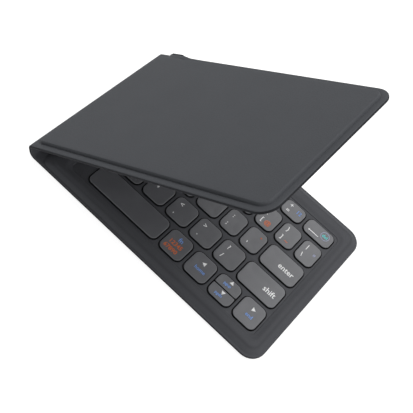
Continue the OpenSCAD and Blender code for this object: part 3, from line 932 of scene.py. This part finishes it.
RIGHT_MARKS = {
    "enter": [(WHITE, word("enter", WORD_H), 0.645, 0.465)],
    "shift_right": [(WHITE, word("shift", WORD_H), 0.725, 0.49)],
    "delete": [(WHITE, back_arrow(6.6 * MM, 0.45 * MM), 0.35, 0.3),
               (PALE, ring_mark(2.6 * MM, 0.35 * MM), 0.71, 0.62),
               (TEAL, word("del", DEL_H), 0.71, 0.62)],
    "menu": [(BLUE, word("fn", FN_H), 0.52, 0.75),
             (ORANGE, word("12345", DIGITS_H), 0.47, 0.5),
             (ORANGE, word("67890", DIGITS_H), 0.43, 0.24)],
    "left_arrow": arrow_marks(180, "home"),
    "right_arrow": arrow_marks(0, "end"),
    "up_arrow": short_arrow_marks(90, "pgup"),
    "down_arrow": short_arrow_marks(270, "pgdn"),
    "space_right": [],
    "equals": pair("+", "=") + [(BLUE, word("12", 2.1 * MM), 0.72, 0.62)],
    "minus": pair("_", "-") + [(BLUE, word("11", 1.9 * MM), 0.72, 0.62)],
    "left_bracket": pair("{", "[") + [(ORANGE, word("@", SIGN_H), 0.62, 0.3)],
    "right_bracket": pair("}", "]") + [(ORANGE, word("~", SIGN_H), 0.6, 0.25)],
    "backslash": pair("|", "\\") + [(PALE, word("#", 1.6 * MM), 0.78, 0.62)],
    "semicolon": pair(":", ";"),
    "quote": [(WHITE, word("'", LETTER_H), 0.32, 0.2), (ORANGE, word("+", SMALL_H), 0.7, 0.77)],
    "comma": pair("<", ","),
    "period": pair(">", "."),
    "slash": pair("?", "/"),
}
for shifted, base in ("&7", "*8", "(9", ")0"):
    RIGHT_MARKS[base] = pair(shifted, base)
for text in "YUIOPHJKLNM":
    RIGHT_MARKS[text.lower()] = letter(text)


def outer_word(text):
    """A word near the outer side of a left key."""
    return [(WHITE, word(text, LETTER_H), 0.4, 0.43)]


# The left rows' marks, from the outer edge towards the fold
LEFT_MARKS = {
    "left_number_row": [outer_word("esc")] + [pair(a, b) for a, b in
                                              ("!1", "@2", "#3", "$4", "%5", "^6")],
    "left_upper_row": [outer_word("tab")] + [letter(c) for c in "QWERT"],
    "left_home_row": [outer_word("caps")] + [letter(c) for c in "ASDFG"],
    "left_lower_row": [outer_word("shift")] + [letter(c) for c in "ZXCVB"],
    "left_space_row": [[(WHITE, word(text, ROW_WORD_H), 0.5, 0.5)]
                       for text in ("ctrl", "fn", "alt", "cmd")] + [[]],
}


# Keys

class Cap:
    """A key cap: its rectangle in sheet space and the radii of its corners."""

    def __init__(self, rect, radii=(KEY_R,) * 4):
        self.rect, self.radii = rect, radii

    def outline(self, inset):
        """The cap's outline, drawn in by inset."""
        return rounded_box(self.rect, inset, self.radii)

    def top(self, s, y):
        """Height of the hollowed top at a point."""
        s0, y0, s1, y1 = self.rect
        across, up = min(s - s0, s1 - s), min(y - y0, y1 - y)
        inset = min(across, up)
        if across < KEY_R and up < KEY_R:
            inset = KEY_R - math.hypot(KEY_R - across, KEY_R - up)
        return dish_t(inset)

    def faces(self):
        """The faces of the hollow cap's sides, its rounded rim and its top."""
        s0, y0, s1, y1 = self.rect
        deepest = min(s1 - s0, y1 - y0) / 2 - LEAST_R
        roof_t, low_t, edge_t = CAP_TOP_T - CAP_ROOF, CAP_LOW_T, CAP_TOP_T - CAP_EDGE
        # the sides take the dark copy of the cap plastic, painted shade in the gaps
        sides = [(CAP_WALL, roof_t), (CAP_WALL, low_t + CAP_CHAMFER),
                 (CAP_WALL - CAP_CHAMFER, low_t), (CAP_CHAMFER, low_t),
                 (0.0, low_t + CAP_CHAMFER), (0.0, edge_t)]
        # the rim takes the lighter copy of the cap plastic, a painted highlight
        rim = [(CAP_EDGE - x, edge_t + y) for x, y in arc(0, 0, CAP_EDGE, 0, 90, RIM_STEPS)]
        rim.append((CAP_EDGE + CAP_RIM, dish_t(CAP_EDGE + CAP_RIM)))
        top = [rim[-1]]
        while top[-1][0] + TOP_STEP < deepest:
            inset = top[-1][0] + TOP_STEP
            top.append((inset, dish_t(inset)))
        sides, rim, top = ([[(s, y, t) for s, y in self.outline(inset)] for inset, t in profile]
                           for profile in (sides, rim, top))
        return quads(sides) + [sides[0][::-1]], quads(rim), quads(top) + [top[-1]]

    def mark(self, half, faces, across, up):
        """A legend's faces laid on the cap's top, turned for a mirrored half."""
        s0, y0, s1, y1 = self.rect
        way = -1 if half.mirrored else 1
        s = s0 + across * (s1 - s0) if way > 0 else s1 - across * (s1 - s0)
        y = y0 + up * (y1 - y0)
        return [[(s + way * p[0], y + p[1], p[2] + self.top(s + way * p[0], y + p[1]))
                 for p in face[::way]] for face in faces]


def dish_t(inset):
    """Height of a cap's hollowed top at a distance from its edge."""
    return CAP_TOP_T - DISH * smooth((inset - CAP_EDGE) / DISH_W)


def make_caps(name, half, body, replaced, caps):
    """One piece of caps with their legends, on a body and in place of a node. caps are
    (cap, marks) pairs."""
    sides, rims, tops = [], [], []
    printed = {}
    for cap, marks in caps:
        for kept, faces in zip((sides, rims, tops), cap.faces()):
            kept += faces
        for color, faces, across, up in marks:
            printed.setdefault(color, []).extend(cap.mark(half, faces, across, up))
    # rims in a lighter copy of the cap plastic as a painted highlight, sides in a dark copy as painted shade
    groups = [(tops, CAPS), (rims, RIM_HIGHLIGHT), (sides, CAP_SIDE_SHADE)]
    groups += [(faces, color) for color, faces in printed.items()]
    obj = build(name, half, groups, sharp=50)
    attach(obj, body)
    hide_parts(replaced)


def right_cap(node):
    """The cap of a right key; the two short arrow keys meet with sharper corners."""
    low, high = right.sheet_box(node)
    corners = {"key_down_arrow": (KEY_R, SPLIT_R, SPLIT_R, KEY_R),
               "key_up_arrow": (SPLIT_R, KEY_R, KEY_R, SPLIT_R)}
    return Cap((low[0], low[1], high[0], high[1]), corners.get(node, (KEY_R,) * 4))


def left_caps(node):
    """The caps of a left row, from the outer edge to the fold."""
    mesh = nodes[node].data
    places = [left.sheet(v.co)[0] for v in mesh.vertices]
    spans = sorted((min(places[i] for i in p.vertices), max(places[i] for i in p.vertices))
                   for p in mesh.polygons)
    merged = [list(spans[0])]
    for a, b in spans[1:]:
        if a > merged[-1][1] + CAP_APART:
            merged.append([a, b])
        merged[-1][1] = max(merged[-1][1], b)
    low, high = left.sheet_box(node)
    return [Cap((a, low[1], b, high[1])) for a, b in reversed(merged)]


def openings(caps):
    """The key frame's openings: caps that face each other closely share one."""
    found = []
    for cap in sorted(caps, key=lambda c: c.rect):
        s0, y0, s1, y1 = cap.rect
        if found and found[-1][0] == s0 and y0 - found[-1][3] < SHARED_GAP:
            found[-1] = (s0, found[-1][1], s1, y1)
        else:
            found.append(cap.rect)
    return found


def make_grid(half, caps):
    """The moulded frame round the keys: a plate with one bevelled opening a key."""
    curve = bpy.data.curves.new(half.name + "_key_grid", "CURVE")
    curve.dimensions, curve.fill_mode = "2D", "BOTH"
    curve.extrude = (DECK_T - GRID_LOW_T) / 2 - GRID_BEVEL
    curve.bevel_depth, curve.bevel_resolution, curve.offset = GRID_BEVEL, 2, -GRID_BEVEL
    outlines = [rounded_box(FIELD, -GRID_UNDER, [KEY_R] * 4)]
    outlines += [rounded_box(rect, -KEY_FIT, [KEY_R] * 4) for rect in openings(caps)]
    for outline in outlines:
        spline = curve.splines.new("POLY")
        spline.points.add(len(outline) - 1)
        for point, (s, y) in zip(spline.points, outline):
            point.co = (s, y, 0, 1)
        spline.use_cyclic_u = True
    top, sides = [], []
    for face in curve_faces(curve, (0, 0, (DECK_T + GRID_LOW_T) / 2)):
        (top if min(p[2] for p in face) > DECK_T - CLOSE else sides).append(face)
    # the opening walls take the dark copy of the frame's plastic, painted shade in the gaps
    obj = build(half.name + "_key_grid", half, [(top, GRID), (sides, GRID_SIDE_SHADE)], sharp=50)
    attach(obj, half.body)
    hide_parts(half.name + "_key_frame")


# Making it all

for half in (right, left):
    make_covers(half)
    make_cable(half)
make_housing()

right_keys = {node: right_cap(node) for node in nodes if node.startswith("key_")}
left_rows = {node: left_caps(node) for node in LEFT_MARKS}
make_grid(right, list(right_keys.values()))
make_grid(left, [cap for caps in left_rows.values() for cap in caps])
for node, cap in right_keys.items():
    key = node.removeprefix("key_")
    make_caps("cap_" + key, right, node, node, [(cap, RIGHT_MARKS[key])])
for node, caps in left_rows.items():
    row = node.removeprefix("left_")
    make_caps("caps_" + row, left, node, node, list(zip(caps, LEFT_MARKS[node])))

slots = {s["node"]: s["material_slot"] for s in frame["record"]["subparts"]}
for name, obj in nodes.items():
    if not obj.hide_render:
        obj.data.materials.clear()
        obj.data.materials.append(INSIDE[slots[name]])


# Camera, floor and light

CAMERA_AT = Vector((68.37, -225.26, 350.71)) * MM
CAMERA_AIM = Vector((-8.34, 35.39, 0)) * MM
CAMERA_ROLL = math.radians(28.6)
CAMERA_SHIFT = (-0.06, -0.13)
LENS = 72.29
CLIP_START = 0.01
SKY = 0.5
SKY_WAY = (0.44, 0, 0)  # how the sky's strength grows with the direction
FLOOR = 0.42  # the floor's colour where it lights the object
FLOOR_GLOW = 0.86  # what it adds where it shows as background
FLOOR_HALF = 6
FLOOR_Z = -0.0001
SOFTBOX_AT = Vector((0, 0.36, 0.88))
SOFTBOX_SIZE = 0.9
SOFTBOX_POWER = 4.6

camera = bpy.data.objects.new("camera", bpy.data.cameras.new("camera"))
bpy.context.scene.collection.objects.link(camera)
camera.data.lens = LENS
camera.data.shift_x, camera.data.shift_y = CAMERA_SHIFT
camera.data.clip_start = CLIP_START
camera.location = CAMERA_AT
camera.rotation_mode = "QUATERNION"
camera.rotation_quaternion = ((CAMERA_AIM - CAMERA_AT).to_track_quat("-Z", "Y")
                              @ Quaternion((0, 0, 1), CAMERA_ROLL))
bpy.context.scene.camera = camera


def make_floor():
    """A pale floor that shows as white in the picture and in reflections, with a shadow."""
    material, tree, shader = new_material("floor", (FLOOR,) * 3, roughness=0.9, specular=0.1)
    shader.inputs["Emission Color"].default_value = (1, 1, 1, 1)
    link(tree, ranged(tree, white_rays(tree), 0, 1, 0, FLOOR_GLOW),
         shader.inputs["Emission Strength"])
    mesh = bpy.data.meshes.new("floor")
    corners = ((-1, -1), (1, -1), (1, 1), (-1, 1))
    mesh.from_pydata([(x * FLOOR_HALF, y * FLOOR_HALF, 0) for x, y in corners], [],
                     [(0, 1, 2, 3)])
    mesh.materials.append(material)
    floor = bpy.data.objects.new("floor", mesh)
    bpy.context.scene.collection.objects.link(floor)
    floor.location.z = FLOOR_Z


def make_light():
    """A sky that is brighter on the side where the halves open, and a large soft lamp."""
    world = bpy.data.worlds.new("world")
    bpy.context.scene.world = world
    world.use_nodes = True
    tree = world.node_tree
    background = tree.nodes["Background"]
    background.inputs["Color"].default_value = (1, 1, 1, 1)
    way = tree.nodes.new("ShaderNodeVectorMath")
    way.operation = "DOT_PRODUCT"
    link(tree, tree.nodes.new("ShaderNodeTexCoord").outputs["Generated"], way.inputs[0])
    way.inputs[1].default_value = SKY_WAY
    sky = ranged(tree, way.outputs["Value"], -SKY, 1, 0, SKY + 1)
    strength = tree.nodes.new("ShaderNodeMix")
    link(tree, white_rays(tree), strength.inputs["Factor"])
    link(tree, sky, strength.inputs["A"])
    strength.inputs["B"].default_value = 1
    link(tree, strength.outputs["Result"], background.inputs["Strength"])
    lamp = bpy.data.lights.new("softbox", "AREA")
    lamp.shape, lamp.size, lamp.energy = "DISK", SOFTBOX_SIZE, SOFTBOX_POWER
    softbox = bpy.data.objects.new("softbox", lamp)
    bpy.context.scene.collection.objects.link(softbox)
    softbox.location = SOFTBOX_AT
    softbox.rotation_mode = "QUATERNION"
    softbox.rotation_quaternion = (-SOFTBOX_AT).to_track_quat("-Z", "Y")


make_floor()
make_light()
bpy.context.scene.view_settings.view_transform = "Standard"
